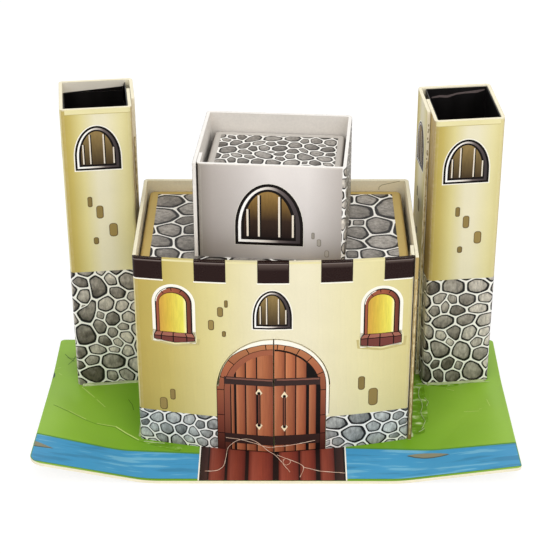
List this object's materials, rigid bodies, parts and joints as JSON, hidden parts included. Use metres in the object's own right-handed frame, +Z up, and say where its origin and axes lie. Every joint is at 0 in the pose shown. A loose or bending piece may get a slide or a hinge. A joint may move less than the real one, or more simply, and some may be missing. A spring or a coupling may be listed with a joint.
{
  "type": "cardboard castle",
  "caption": "Toy castle of folded printed board: a hall with a slit gate, a turned keep on its roof and open corner towers, glued to a curled base board.",
  "frame": {"origin": "on the floor, under the middle of the base board's outline", "axes": "+X along the front to the right, +Y from the gate to the back, +Z up"},
  "size_m": [0.298, 0.163, 0.2],
  "materials": {
    "base_print": "printed, satin",
    "wall_print": "printed, satin",
    "keep_print": "printed, satin",
    "roof_print": "printed, satin",
    "black_paper": "satin",
    "glue": "translucent, satin"
  },
  "bodies": {
    "root": {"base_board": "base_print", "hall_walls": "wall_print", "hall_roof": "roof_print", "keep_walls": "keep_print", "keep_roof": "roof_print", "left_tower": "wall_print", "left_lining": "black_paper", "right_tower": "wall_print", "right_lining": "black_paper", "glue_beads": "glue"}
  },
  "joints": []
}
